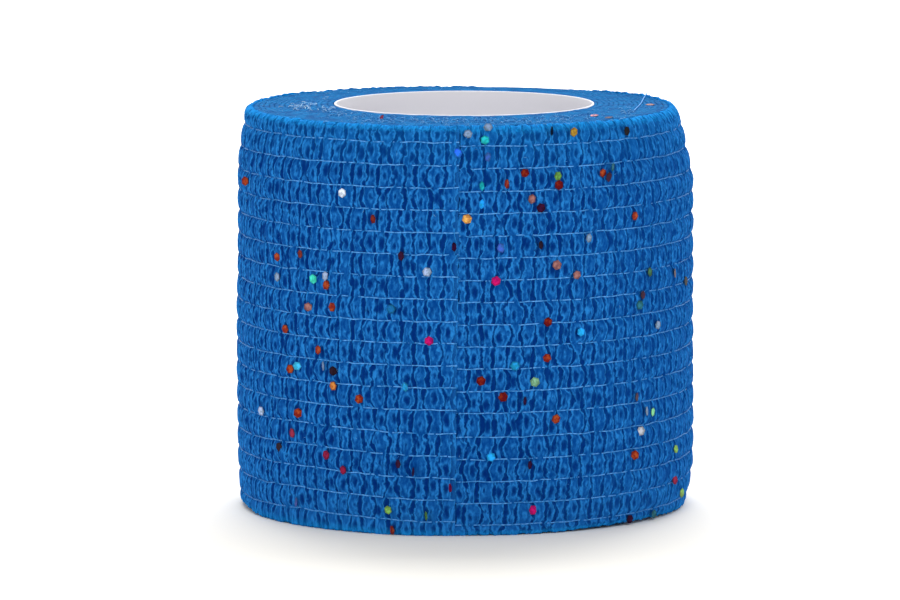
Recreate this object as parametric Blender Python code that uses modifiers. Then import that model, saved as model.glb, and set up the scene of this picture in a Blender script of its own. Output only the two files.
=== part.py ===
"""Cohesive bandage roll: a crinkled elastic strip wound on a thin white tube.

Metres, +Z up. The roll stands on one end at z = 0, with its axis on Z.
The strip's outer end lies at the front, on the -Y side.
"""

import math
from collections import namedtuple

import bmesh
import bpy

# The strip, as it is wound
STRIP_WIDTH = 0.050
TURN_THICKNESS = 0.00075
ROLL_RADIUS = 0.02886
LOPSIDEDNESS = 0.27
OUTER_END_LEAN = (-0.0011, -0.0005)
OUTER_END_BEVEL = math.radians(0.9)
OUTER_END_CLIMB = 0.00048

# The elastic threads, which draw the cloth in along rings
THREAD_COUNT = 18
THREAD_PITCH = 0.0027
FIRST_THREAD_HEIGHT = 0.00155
THREAD_DEPTH = 0.00016
ROW_BULGE = 0.00014
ROW_UNEVENNESS = 0.00005

# The tube in the middle
TUBE_RADIUS = 0.0162
TUBE_WALL = 0.0005
TUBE_HEIGHT = 0.0502
TUBE_EDGE = 0.00012
SEAT_GAP = 0.0003
WINDING_OFFSET = 0.0003

# How finely the round shapes are cut
ROLL_SECTIONS = 72
TUBE_STEPS = 96
SHARP_ANGLE = math.radians(50)

CLOTH_BLUE = (0.006, 0.107, 0.440, 1.0)
TUBE_WHITE = (0.80, 0.80, 0.79, 1.0)

# How far the side falls back from the widest radius, from foot to shoulder
Waist = namedtuple("Waist", "height inset")
BARREL = (
    Waist(0.0000, 0.00110),
    Waist(0.0020, 0.00065),
    Waist(0.0045, 0.00030),
    Waist(0.0080, 0.00010),
    Waist(0.0180, 0.00000),
    Waist(0.0250, 0.00000),
    Waist(0.0410, 0.00005),
    Waist(0.0430, 0.00030),
    Waist(0.0450, 0.00068),
    Waist(0.0470, 0.00095),
    Waist(0.0485, 0.00130),
    Waist(0.0495, 0.00165),
    Waist(0.0500, 0.00200),
)


def barrel_inset(height):
    """How far the side falls back from the widest radius at a height."""
    for lower, upper in zip(BARREL, BARREL[1:]):
        if height <= upper.height:
            share = (height - lower.height) / (upper.height - lower.height)
            return lower.inset + share * (upper.inset - lower.inset)
    return BARREL[-1].inset


def barrel_radius(turn, height):
    """Radius of the roll's side there; its edges fall back further on the right than on the left."""
    slump = 1.0 + LOPSIDEDNESS * math.sin(2.0 * math.pi * turn)
    return ROLL_RADIUS - barrel_inset(height) * slump


def row_swell(row, turn):
    """How far a row of puckers stands out between its two threads."""
    wave = math.sin(2.3 * row + 10.0 * math.pi * turn) + math.sin(1.1 * row + 26.0 * math.pi * turn)
    return ROW_BULGE + 0.5 * ROW_UNEVENNESS * wave


def roll_section(turn):
    """One cut through the wound cloth, as (radius, height) pairs.

    turn runs from 0, just right of the outer end, once round to 1 at the end.
    """
    bore = TUBE_RADIUS + SEAT_GAP
    thinner = (1.0 - turn) * TURN_THICKNESS
    climb = turn * OUTER_END_CLIMB
    foot = barrel_radius(turn, climb) - thinner
    marks = [climb]
    marks += [FIRST_THREAD_HEIGHT + climb + step * THREAD_PITCH for step in range(THREAD_COUNT)]
    marks += [STRIP_WIDTH]

    section = [(bore, 0.0), (foot - TURN_THICKNESS, 0.0), (foot - 0.3 * TURN_THICKNESS, climb)]
    for row, (lower, upper) in enumerate(zip(marks, marks[1:])):
        for share in (0.25, 0.72):
            height = lower + share * (upper - lower)
            section.append((barrel_radius(turn, height) - thinner + row_swell(row, turn), height))
        if row < THREAD_COUNT:
            section.append((barrel_radius(turn, upper) - thinner - THREAD_DEPTH, upper))
    section.append((barrel_radius(turn, STRIP_WIDTH) - thinner, STRIP_WIDTH))
    section.append((bore, STRIP_WIDTH))
    return section


def turned_to(turn, radius, height):
    """A section's point in space.

    The outer end leans a little along the side, and the winding has grown
    off centre towards +X, more so the further out it lies.
    """
    foot_lean, top_lean = OUTER_END_LEAN
    lean = (foot_lean + (top_lean - foot_lean) * height / STRIP_WIDTH) / ROLL_RADIUS
    angle = turn * (2.0 * math.pi - OUTER_END_BEVEL) + lean
    bore = TUBE_RADIUS + SEAT_GAP
    offset = WINDING_OFFSET * (radius - bore) / (ROLL_RADIUS - bore)
    return (radius * math.sin(angle) + offset, -radius * math.cos(angle), height)


def material(name, color, roughness):
    made = bpy.data.materials.new(name)
    made.use_nodes = True
    shader = made.node_tree.nodes["Principled BSDF"]
    shader.inputs["Base Color"].default_value = color
    shader.inputs["Roughness"].default_value = roughness
    shader.inputs["Metallic"].default_value = 0.0
    return made


def add_object(name, mesh, surface, collection):
    mesh.polygons.foreach_set("use_smooth", [True] * len(mesh.polygons))
    mesh.set_sharp_from_angle(angle=SHARP_ANGLE)
    mesh.materials.append(surface)
    made = bpy.data.objects.new(name, mesh)
    collection.objects.link(made)
    return made


def make_bandage(collection):
    """The wound cloth: one solid, lofted through its sections round the tube."""
    shape = bmesh.new()
    rings = []
    for step in range(ROLL_SECTIONS):
        turn = step / (ROLL_SECTIONS - 1)
        rings.append([shape.verts.new(turned_to(turn, *point)) for point in roll_section(turn)])
    for ring, following in zip(rings, rings[1:] + rings[:1]):
        for place in range(len(ring)):
            after = (place + 1) % len(ring)
            shape.faces.new((ring[place], ring[after], following[after], following[place]))
    bmesh.ops.recalc_face_normals(shape, faces=shape.faces[:])
    mesh = bpy.data.meshes.new("bandage")
    shape.to_mesh(mesh)
    shape.free()
    cloth = material("crinkled_cloth", CLOTH_BLUE, 0.85)
    return add_object("bandage", mesh, cloth, collection)


def make_tube(collection):
    """The moulded tube: a thin wall with eased edges, turned with a Screw modifier."""
    outer = TUBE_RADIUS
    inner = TUBE_RADIUS - TUBE_WALL
    wall = [
        (outer - TUBE_EDGE, 0.0),
        (inner + TUBE_EDGE, 0.0),
        (inner, TUBE_EDGE),
        (inner, TUBE_HEIGHT - TUBE_EDGE),
        (inner + TUBE_EDGE, TUBE_HEIGHT),
        (outer - TUBE_EDGE, TUBE_HEIGHT),
        (outer, TUBE_HEIGHT - TUBE_EDGE),
        (outer, TUBE_EDGE),
    ]
    edges = [(place, (place + 1) % len(wall)) for place in range(len(wall))]
    mesh = bpy.data.meshes.new("tube")
    mesh.from_pydata([(radius, 0.0, height) for radius, height in wall], edges, [])
    surface = material("white_plastic", TUBE_WHITE, 0.45)
    tube = add_object("tube", mesh, surface, collection)
    screw = tube.modifiers.new("turned", "SCREW")
    screw.axis = "Z"
    screw.angle = 2.0 * math.pi
    screw.steps = TUBE_STEPS
    screw.render_steps = TUBE_STEPS
    screw.use_smooth_shade = True
    screw.use_merge_vertices = True
    screw.merge_threshold = 0.00001
    return tube


def main():
    for leftover in list(bpy.data.objects):
        bpy.data.objects.remove(leftover, do_unlink=True)
    collection = bpy.data.collections.new("cohesive_bandage_roll")
    bpy.context.scene.collection.children.link(collection)
    make_bandage(collection)
    make_tube(collection)


main()
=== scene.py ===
"""Looks of the cohesive bandage roll: puckered cloth, elastic threads, glitter and a white tube.

Metres, +Z up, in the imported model's frame. The strip's outer end lies at the front, on
the -Y side. "turn" counts turns of the strip from just right of that end, so the turn
that shows runs from 0 to 1 and the turns under it are below 0. "rise" is measured across
the strip, and a row is the band of puckers between two elastic threads.
"""

import math
import random
from collections import namedtuple

import bpy
from mathutils import Matrix, Vector
from mathutils.bvhtree import BVHTree


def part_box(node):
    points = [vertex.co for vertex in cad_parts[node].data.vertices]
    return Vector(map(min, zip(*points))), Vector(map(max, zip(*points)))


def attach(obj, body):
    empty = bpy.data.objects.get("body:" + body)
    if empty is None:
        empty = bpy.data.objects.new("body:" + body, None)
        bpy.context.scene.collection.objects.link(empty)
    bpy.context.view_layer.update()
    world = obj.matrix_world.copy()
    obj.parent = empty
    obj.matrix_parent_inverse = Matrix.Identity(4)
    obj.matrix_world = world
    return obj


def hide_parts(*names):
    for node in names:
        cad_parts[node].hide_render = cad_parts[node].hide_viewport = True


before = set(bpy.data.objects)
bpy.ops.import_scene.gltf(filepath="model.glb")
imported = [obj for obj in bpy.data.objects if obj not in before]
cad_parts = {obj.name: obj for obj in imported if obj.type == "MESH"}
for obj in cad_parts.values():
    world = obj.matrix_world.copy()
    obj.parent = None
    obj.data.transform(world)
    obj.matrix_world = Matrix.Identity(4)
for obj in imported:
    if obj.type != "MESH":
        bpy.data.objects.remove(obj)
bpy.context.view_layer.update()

MM = 0.001

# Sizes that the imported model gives
cloth_low, cloth_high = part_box("bandage")
tube_low, tube_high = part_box("tube")
STRIP_WIDTH = cloth_high.z - cloth_low.z
TUBE_RADIUS = tube_high.x
TUBE_HEIGHT = tube_high.z

# The winding, much as in the part; the outer turn takes up a little more than one turn
ROLL_RADIUS = 28.86 * MM
TURN_LENGTH = 2.0 * math.pi * ROLL_RADIUS
TURN_THICKNESS = 0.75 * MM
CLOTH_THICKNESS = 0.66 * MM
SEAT_GAP = 0.3 * MM
BORE_RADIUS = TUBE_RADIUS + SEAT_GAP
WINDING_OFFSET = 0.35 * MM
HIDDEN_START = -0.03
OUTER_TURN_ROOM = 1.1
TURNS_UNDER = (ROLL_RADIUS - BORE_RADIUS) / TURN_THICKNESS - OUTER_TURN_ROOM

# The strip's outer end, which climbs and leans, is torn by hand and is pressed down
OUTER_END_TURN = 0.9975
OUTER_END_CLIMB = 0.48 * MM
OUTER_END_LEAN = (-1.1 * MM, -0.5 * MM)
OUTER_END_RAGGED = 0.5 * MM
OUTER_END_PRESS = 0.52 * MM
PRESSED_LENGTH = 6.0 * MM
PRESSED_FLAT = 0.6

# How far the side falls back from its widest radius, on the roll's left and on its right
Waist = namedtuple("Waist", "height left right")
BARREL = (
    Waist(0.0 * MM, 0.42 * MM, 1.15 * MM),
    Waist(1.5 * MM, 0.34 * MM, 0.70 * MM),
    Waist(3.3 * MM, 0.26 * MM, 0.35 * MM),
    Waist(5.2 * MM, 0.16 * MM, 0.06 * MM),
    Waist(8.0 * MM, 0.07 * MM, 0.00 * MM),
    Waist(18.0 * MM, 0.00 * MM, 0.06 * MM),
    Waist(26.0 * MM, 0.00 * MM, 0.10 * MM),
    Waist(30.0 * MM, 0.14 * MM, 0.12 * MM),
    Waist(41.0 * MM, 0.22 * MM, 0.14 * MM),
    Waist(43.0 * MM, 0.24 * MM, 0.54 * MM),
    Waist(45.0 * MM, 0.46 * MM, 1.00 * MM),
    Waist(47.0 * MM, 0.80 * MM, 1.42 * MM),
    Waist(48.5 * MM, 1.02 * MM, 1.84 * MM),
    Waist(49.5 * MM, 1.16 * MM, 2.26 * MM),
    Waist(50.3 * MM, 1.60 * MM, 2.75 * MM),
    Waist(50.6 * MM, 1.80 * MM, 3.00 * MM),
)
BARREL_TOP = BARREL[-1].height
BARREL_DEPTH = 3.2 * MM

# The strip's two edges: the climb dies out near them, and they sag, are ragged and are rounded off
CLIMB_FADE = 1.6 * MM
EDGE_SAG = 0.15 * MM
EDGE_SAG_REACH = 3.0 * MM
EDGE_RAGGED = 0.60 * MM
EDGE_RAGGED_REACH = 1.2 * MM
EDGE_ROUNDING = 0.12 * MM
EDGE_ROUNDING_REACH = 0.35 * MM
END_ROUNDING_REACH = 0.30 * MM

# How far the outer turn's two edges stray up or down, once round from the front
Stray = namedtuple("Stray", "turn foot top")
STRAY_EDGES = (
    Stray(0.00, 0.00 * MM, 0.00 * MM),
    Stray(0.07, 0.10 * MM, 0.00 * MM),
    Stray(0.13, 0.38 * MM, 0.00 * MM),
    Stray(0.17, 0.34 * MM, 0.00 * MM),
    Stray(0.22, 0.10 * MM, 0.03 * MM),
    Stray(0.33, 0.00 * MM, 0.25 * MM),
    Stray(0.38, 0.00 * MM, 0.12 * MM),
    Stray(0.44, 0.00 * MM, -0.20 * MM),
    Stray(0.48, 0.00 * MM, -0.10 * MM),
    Stray(0.55, 0.00 * MM, 0.06 * MM),
    Stray(0.68, 0.20 * MM, 0.14 * MM),
    Stray(0.74, 0.60 * MM, 0.07 * MM),
    Stray(0.79, 0.60 * MM, 0.02 * MM),
    Stray(0.83, 0.06 * MM, 0.00 * MM),
    Stray(1.00, 0.00 * MM, 0.00 * MM),
)
STRAY_REACH = 1.6 * MM
STRAY_MOST = 0.65 * MM
STRAY_UNDER = 0.7
STRAY_TURNS = 4.0

# How far the lowest threads sag below their even spacing, once round from the front
Sag = namedtuple("Sag", "turn drop")
THREAD_SAG = (
    Sag(0.00, 0.26 * MM),
    Sag(0.11, 0.26 * MM),
    Sag(0.16, 0.18 * MM),
    Sag(0.25, 0.08 * MM),
    Sag(0.50, 0.00 * MM),
    Sag(0.80, 0.05 * MM),
    Sag(0.835, 0.00 * MM),
    Sag(0.88, -0.24 * MM),
    Sag(0.93, 0.00 * MM),
    Sag(0.97, 0.22 * MM),
    Sag(1.00, 0.26 * MM),
)
SAG_MOST = 0.30 * MM
SAG_FROM = 15.0 * MM
SAG_WHOLE = 12.0 * MM

# The tube's lip, from its inner wall round to its outer one
TUBE_WALL = 0.28 * MM
TUBE_STEPS = 192
Lip = namedtuple("Lip", "side drop")
TUBE_LIP = (
    Lip(0.00 * MM, 1.50 * MM),
    Lip(0.00 * MM, 0.12 * MM),
    Lip(0.03 * MM, 0.03 * MM),
    Lip(0.09 * MM, 0.00 * MM),
    Lip(TUBE_WALL - 0.09 * MM, 0.00 * MM),
    Lip(TUBE_WALL - 0.03 * MM, 0.03 * MM),
    Lip(TUBE_WALL, 0.12 * MM),
    Lip(TUBE_WALL, 1.50 * MM),
)

# The elastic threads, which waver along their grooves and stand a little out of them; a covered
# one is drawn in by THREAD_COVERED times as much
THREAD_COUNT = 18
THREAD_PITCH = 2.7 * MM
FIRST_THREAD_HEIGHT = 1.55 * MM
THREAD_RADIUS = 0.080 * MM
THREAD_DEPTH = 0.30 * MM
THREAD_STANDS = 0.07 * MM
THREAD_COVERED = 1.6
THREAD_WAVER = 0.45 * MM

# The puckers between the threads, and where one crosses a thread and covers it
SWELL = 0.34 * MM
PUFF = 0.26 * MM
COVER_RISE = 0.2 * MM

# The creases that part the puckers; all but their pitch is in shares of that pitch
CREASE_PITCH = 1.68 * MM
CREASE_WOBBLE = 0.45
CREASE_SHIFT = 0.32
CREASE_BOW = 0.26
CREASE_LEAN = 0.3

# The pits in the puckers: how far off centre they lie, how far they are drawn out, and the
# share of puckers that have none
PIT_RADIUS = 0.27 * MM
PIT_SPREAD = 1.5
PIT_ASIDE = 0.25
PIT_ABOVE = 0.3
PIT_DRAWN_OUT = 0.45
PITS_MISSING = 0.25

# How one value changes from start to end while another runs from low to high
Fade = namedtuple("Fade", "low high start end", defaults=(0.0, 1.0))

# By the distance from a hollow's edge, in millimetres: the painted shade in the hollow, the puff that the
# relief rises by, and the painted highlight on the rim beside it
HOLLOW_SHADE = Fade(-0.16, 0.17, 1.0, 0.0)
PUFF_RISES = Fade(-0.12, 0.26)
RIM_STARTS = Fade(0.02, 0.17)
RIM_ENDS = Fade(0.20, 0.42, 1.0, 0.0)
RIM_ROUND_PIT = Fade(-0.1, 0.1, 0.5, 1.0)

# By the distance from a thread, in millimetres, and by the noise patterns below
CREASE_PINCHED = Fade(0.02, 0.30, 0.07, 0.0)
CREASE_OPENS = Fade(0.32, 0.68, 0.00, 0.29)
COVER_STARTS = Fade(0.60, 0.64)

# By the rise: the top edge pales with its fluff and with painted light from above, the top rows get painted
# light from above, and the foot gets painted light that lifts the floor's shade
TOP_EDGE = Fade(STRIP_WIDTH - 1.4 * MM, STRIP_WIDTH - 0.2 * MM)
TOP_ROWS = Fade(STRIP_WIDTH - 7.0 * MM, STRIP_WIDTH - 1.0 * MM)
FOOT_EDGE = Fade(0.1 * MM, 0.9 * MM, 0.70, 0.0)
FOOT_ROWS = Fade(0.0 * MM, 8.0 * MM, 1.0, 0.0)

# By the turn: the painted hollow shade and ridge highlights are weaker on the roll's right, where the puckers
# look calmer, and the threads are partly tinted to the cloth's blue but in front, as if they lay deeper
CALM_STARTS = Fade(0.02, 0.20)
CALM_ENDS = Fade(0.30, 0.42, 1.0, 0.0)
SUNK_STARTS = Fade(0.08, 0.17)
SUNK_ENDS = Fade(0.82, 0.90, 1.0, 0.0)

# Noise patterns over the strip: how far each is drawn out across it, which layer of the noise
# it takes, its scale, detail and roughness, and how far apart the layers of two rows are
Pattern = namedtuple("Pattern", "stretch layer scale detail roughness by_row", defaults=(2.0, 0.5, 0.0))
WOBBLING_CREASES = Pattern(1.0, 0.0, 1.1, by_row=3.7)
WIDENING_CREASES = Pattern(0.6, 5.0, 1.3, by_row=2.1)
UNEVEN_ROWS = Pattern(1.0, 9.0, 0.55)
COVERED_THREADS = Pattern(5.3, 2.0, 1.25, 1.0)
WAVERING_THREADS = Pattern(7.0, 5.0, 0.45, 3.0)
FIBRES_OVER_THREADS = Pattern(3.0, 1.0, 2.2)
RAGGED_EDGE = Pattern(3.0, 1.0, 1.2, 3.0)
RAGGED_END = Pattern(8.0, 0.0, 0.55, 3.0)
STREAKS = Pattern(0.55, 7.0, 2.3, 3.0, 0.6)
DINTS = Pattern(0.4, 15.0, 2.1, 3.0, 0.6)
CLOUDS = Pattern(1.0, 3.0, 0.7)
FLUFF = Pattern(0.6, 12.0, 4.5, 2.0, 0.6)

# How finely the cloth and the threads are meshed
OUTER_COLUMNS = 850
STEPS_A_ROW = 6
UNDER_COLUMNS = 6700
THREAD_COLUMNS = 620

# The photograph's frame, and the camera that took it
PHOTO_WIDTH, PHOTO_HEIGHT = 900, 600
CAMERA_PLACE = Vector((-1.76, -845.5, 130.5)) * MM
CAMERA_PITCH = math.radians(7.082)
FOCAL_PIXELS = 6818.6
SENSOR_WIDTH_MM = 36.0


# ------------------------------------------------------------------ node trees


class Wire:
    """A node's output that can be reckoned with like a number."""

    def __init__(self, tree, socket):
        self.tree = tree
        self.socket = socket

    def __add__(self, other):
        return reckon(self.tree, "ADD", self, other)

    def __sub__(self, other):
        return reckon(self.tree, "SUBTRACT", self, other)

    def __rsub__(self, other):
        return reckon(self.tree, "SUBTRACT", other, self)

    def __mul__(self, other):
        return reckon(self.tree, "MULTIPLY", self, other)

    def __truediv__(self, other):
        return reckon(self.tree, "DIVIDE", self, other)

    __radd__ = __add__
    __rmul__ = __mul__


def plug(tree, value, socket):
    """Joins a wire to a socket, or sets the socket to a plain value."""
    if isinstance(value, Wire):
        tree.links.new(value.socket, socket)
    else:
        socket.default_value = value


def reckon(tree, operation, *values):
    """One step of arithmetic."""
    node = tree.nodes.new("ShaderNodeMath")
    node.operation = operation
    for value, socket in zip(values, node.inputs):
        plug(tree, value, socket)
    return Wire(tree, node.outputs[0])


def place_of(tree, x, y, z):
    """The place that has these three parts."""
    node = tree.nodes.new("ShaderNodeCombineXYZ")
    for value, socket in zip((x, y, z), node.inputs):
        plug(tree, value, socket)
    return Wire(tree, node.outputs[0])


def parts_of(tree, place):
    """The three parts of a place."""
    node = tree.nodes.new("ShaderNodeSeparateXYZ")
    plug(tree, place, node.inputs[0])
    return [Wire(tree, socket) for socket in node.outputs]


def noise(tree, place, scale, detail=2.0, roughness=0.5):
    """Smooth noise from 0 to 1, mostly near a half."""
    node = tree.nodes.new("ShaderNodeTexNoise")
    plug(tree, place, node.inputs["Vector"])
    node.inputs["Scale"].default_value = scale
    node.inputs["Detail"].default_value = detail
    node.inputs["Roughness"].default_value = roughness
    return Wire(tree, node.outputs[0])


def dice(tree, place):
    """Three unrelated numbers from 0 to 1, the same for the same place."""
    node = tree.nodes.new("ShaderNodeTexWhiteNoise")
    node.noise_dimensions = "3D"
    plug(tree, place, node.inputs["Vector"])
    return parts_of(tree, Wire(tree, node.outputs["Color"]))


def ramp(tree, value, low, high, start=0.0, end=1.0, smooth=True):
    """Runs from start to end while value runs from low to high."""
    node = tree.nodes.new("ShaderNodeMapRange")
    node.interpolation_type = "SMOOTHSTEP" if smooth else "LINEAR"
    for given, socket in zip((value, low, high, start, end), node.inputs):
        plug(tree, given, socket)
    return Wire(tree, node.outputs[0])


def outline(tree, value, points):
    """A drawn line through (value, result) points, all from 0 to 1."""
    node = tree.nodes.new("ShaderNodeFloatCurve")
    drawn = node.mapping.curves[0]
    drawn.points[0].location = points[0]
    drawn.points[1].location = points[-1]
    for point in points[1:-1]:
        drawn.points.new(*point)
    for point in drawn.points:
        point.handle_type = "VECTOR"
    node.mapping.update()
    plug(tree, value, node.inputs["Value"])
    return Wire(tree, node.outputs[0])


# ------------------------------------------------------ how the cloth puckers


def row_of(tree, rise):
    """The row's number, and the share of the way up from its lower thread."""
    rows = (rise - FIRST_THREAD_HEIGHT) / THREAD_PITCH
    row = reckon(tree, "FLOOR", rows)
    return row, rows - row


def pattern(tree, along, across, kind, row=0.0):
    """A noise pattern over the strip, from 0 to 1; across is in millimetres or in threads."""
    place = place_of(tree, along / MM, across * kind.stretch, row * kind.by_row + kind.layer)
    return noise(tree, place, kind.scale, kind.detail, kind.roughness)


def crease_count(tree, along, rise, row):
    """How many creases lie before a place, in a row that is drawn in unevenly."""
    wobble = pattern(tree, along, rise / MM, WOBBLING_CREASES, row) - 0.5
    return along / CREASE_PITCH + wobble * CREASE_WOBBLE


def nearest_crease(tree, place, row, share):
    """How far the nearest crease lies, in millimetres.

    The creases run from thread to thread. Neighbours mostly bow opposite ways,
    so that they close round a pucker like a pair of brackets.
    """
    home = reckon(tree, "FLOOR", place)
    belly = reckon(tree, "SINE", share * math.pi)
    nearest = None
    for step in (-1.0, 0.0, 1.0):
        number = home + step
        shift, bow, lean = dice(tree, place_of(tree, number, row, 4.0))
        way = reckon(tree, "FLOORED_MODULO", number + row, 2.0) * 2.0 - 1.0
        bent = belly * way * (bow * 1.3 - 0.3) * CREASE_BOW
        bent = bent + (share - 0.5) * (lean - 0.5) * CREASE_LEAN
        gap = reckon(tree, "ABSOLUTE", place - number - 0.5 - (shift - 0.5) * CREASE_SHIFT - bent)
        nearest = gap if nearest is None else reckon(tree, "MINIMUM", nearest, gap)
    return nearest * (CREASE_PITCH / MM)


def pucker_pit(tree, place, row, share):
    """How far the edge of the small pit in a pucker's middle lies, in millimetres.

    Each pit lies a little off centre and has its own size; about one pucker in
    four has none.
    """
    home = reckon(tree, "ROUND", place)
    aside, above, own = dice(tree, place_of(tree, home, row, 8.0))
    across = (place - home - (aside - 0.5) * PIT_ASIDE) * (CREASE_PITCH / MM)
    up = (share - 0.5 - (above - 0.5) * PIT_ABOVE) * (THREAD_PITCH / MM) * PIT_DRAWN_OUT
    distance = reckon(tree, "SQRT", across * across + up * up)
    return distance - (own - PITS_MISSING) * PIT_SPREAD * (PIT_RADIUS / MM)


def hollow_edge(tree, along, rise):
    """How far a place lies from the edge of the nearest hollow, in millimetres; below 0 inside it.

    Hollows are the gaps between puckers, which widen and close along their
    length, and the small pits in the puckers. Also says how much nearer the
    gap's edge lies than the pit's, and the share of the way up the row.
    """
    row, share = row_of(tree, rise)
    opening = ramp(tree, pattern(tree, along, rise / MM, WIDENING_CREASES, row), *CREASE_OPENS)
    from_thread = (0.5 - reckon(tree, "ABSOLUTE", share - 0.5)) * (THREAD_PITCH / MM)
    pinch = ramp(tree, from_thread, *CREASE_PINCHED)
    place = crease_count(tree, along, rise, row)
    gap = nearest_crease(tree, place, row, share) - opening + pinch
    pit = pucker_pit(tree, place, row, share) + pinch
    return reckon(tree, "SMOOTH_MIN", gap, pit, 0.05), pit - gap, share


def thread_cover(tree, along, number):
    """1 where a pucker crosses over a thread and hides it, 0 where the thread shows."""
    return ramp(tree, pattern(tree, along, number, COVERED_THREADS), *COVER_STARTS)


def cloth_relief(tree, along, rise):
    """How far the puckered cloth stands out from the thread's level."""
    edge, _, share = hollow_edge(tree, along, rise)
    belly = reckon(tree, "POWER", reckon(tree, "MAXIMUM", share * (1.0 - share) * 4.0, 0.0), 0.5)
    puff = ramp(tree, edge, *PUFF_RISES)
    uneven = pattern(tree, along, rise / MM, UNEVEN_ROWS)
    number = reckon(tree, "ROUND", (rise - FIRST_THREAD_HEIGHT) / THREAD_PITCH)
    cover = thread_cover(tree, along, number) * (1.0 - belly)
    swell = belly * SWELL * (0.75 + 0.5 * uneven)
    puckers = (puff - 0.7) * PUFF * (0.35 + 0.65 * belly) * (0.80 + 0.4 * uneven)
    return swell + puckers + cover * COVER_RISE


# ---------------------------------------------------------------- growing pieces


class Tree:
    """A Geometry Nodes tree with named inputs, built node by node."""

    KINDS = {int: "NodeSocketInt", float: "NodeSocketFloat"}

    def __init__(self, name, sizes, spots=None):
        self.tree = bpy.data.node_groups.new(name, "GeometryNodeTree")
        self.sizes = sizes
        self.spots = spots or bpy.data.meshes.new(name + " seed")
        self.tree.interface.new_socket("Spots", in_out="INPUT", socket_type="NodeSocketGeometry")
        for size, value in sizes.items():
            self.tree.interface.new_socket(size, in_out="INPUT", socket_type=self.KINDS[type(value)])
        self.tree.interface.new_socket("Geometry", in_out="OUTPUT", socket_type="NodeSocketGeometry")
        self.given = self.tree.nodes.new("NodeGroupInput")

    def size(self, name):
        """One of the tree's named inputs."""
        return Wire(self.tree, self.given.outputs[name])

    def add(self, kind, settings=(), **inputs):
        """Adds a node; an input is named in lower case with _ for a space."""
        node = self.tree.nodes.new(kind)
        for name, value in dict(settings).items():
            setattr(node, name, value)
        for name, value in inputs.items():
            wanted = name.replace("_", " ").lower()
            socket = next(s for s in node.inputs if s.enabled and s.name.lower() == wanted)
            plug(self.tree, value, socket)
        return node

    def out(self, node, name=None):
        """A node's output of that name, or else its first one."""
        shown = [s for s in node.outputs if s.enabled and (name is None or s.name == name)]
        return Wire(self.tree, shown[0])

    def keep(self, geometry, value):
        """Captures a field, and returns the geometry and the captured value."""
        node = self.tree.nodes.new("GeometryNodeCaptureAttribute")
        node.capture_items.new("FLOAT", "kept")
        plug(self.tree, geometry, node.inputs[0])
        plug(self.tree, value, node.inputs[1])
        return Wire(self.tree, node.outputs[0]), Wire(self.tree, node.outputs[1])

    def store(self, geometry, name, value, kind, domain="POINT"):
        """Keeps a value on the mesh under a name that a material can read."""
        node = self.add(
            "GeometryNodeStoreNamedAttribute",
            {"data_type": kind, "domain": domain},
            geometry=geometry,
            name=name,
            value=value,
        )
        return self.out(node)

    def grow(self, name, geometry, surface, smooth=True):
        """Finishes the tree and returns what it makes as a plain mesh object."""
        shaded = self.out(self.add("GeometryNodeSetShadeSmooth", geometry=geometry, shade_smooth=smooth))
        whole = self.out(self.add("GeometryNodeRealizeInstances", geometry=shaded))
        finished = self.out(self.add("GeometryNodeSetMaterial", geometry=whole, material=surface))
        result = self.tree.nodes.new("NodeGroupOutput")
        plug(self.tree, finished, result.inputs[0])

        carrier = bpy.data.objects.new(name + "_tree", self.spots)
        bpy.context.scene.collection.objects.link(carrier)
        modifier = carrier.modifiers.new("grown", "NODES")
        modifier.node_group = self.tree
        for socket in self.tree.interface.items_tree:
            if socket.in_out == "INPUT" and socket.name in self.sizes:
                modifier[socket.identifier] = self.sizes[socket.name]
        graph = bpy.context.evaluated_depsgraph_get()
        mesh = bpy.data.meshes.new_from_object(carrier.evaluated_get(graph), depsgraph=graph)
        mesh.name = name
        carrier.modifiers.remove(modifier)
        bpy.data.objects.remove(carrier)
        grown = bpy.data.objects.new(name, mesh)
        bpy.context.scene.collection.objects.link(grown)
        return grown


WINDING = {
    "Roll Radius": ROLL_RADIUS,
    "Bore Radius": BORE_RADIUS,
    "Turn Thickness": TURN_THICKNESS,
    "Winding Offset": WINDING_OFFSET,
    "Outer End Climb": OUTER_END_CLIMB,
}


def swing(tree, turn, points, most):
    """A drawn line through (turn, amount) points, for amounts from -most to most."""
    shares = [(at, 0.5 + 0.5 * amount / most) for at, amount in points]
    return (outline(tree, turn, shares) * 2.0 - 1.0) * most


def level_at(grower, turn, rise):
    """Height above the floor: the outer turn's threads climb to its end, and the lowest ones sag."""
    tree = grower.tree
    climb = reckon(tree, "MAXIMUM", turn, 0.0) * grower.size("Outer End Climb")
    drop = swing(tree, turn, THREAD_SAG, SAG_MOST) * ramp(tree, rise, SAG_WHOLE, SAG_FROM, 1.0, 0.0)
    from_edge = reckon(tree, "MINIMUM", rise, STRIP_WIDTH - rise)
    return rise + (climb - drop) * ramp(tree, from_edge, 0.0, CLIMB_FADE)


def wound_radius(grower, turn, height):
    """Radius of a turn's outer face; the shoulders press all turns inwards alike."""
    tree = grower.tree
    roll, bore = grower.size("Roll Radius"), grower.size("Bore Radius")
    up = height / BARREL_TOP
    left = outline(tree, up, [(waist.height / BARREL_TOP, waist.left / BARREL_DEPTH) for waist in BARREL])
    right = outline(tree, up, [(waist.height / BARREL_TOP, waist.right / BARREL_DEPTH) for waist in BARREL])
    rightwards = reckon(tree, "SINE", turn * math.tau) * 0.5 + 0.5
    inset = (left + (right - left) * rightwards) * BARREL_DEPTH
    squeeze = (roll - inset - bore) / (roll - bore)
    depth = (1.0 - turn) * grower.size("Turn Thickness")
    return bore + (roll - bore - depth) * squeeze, squeeze


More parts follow.
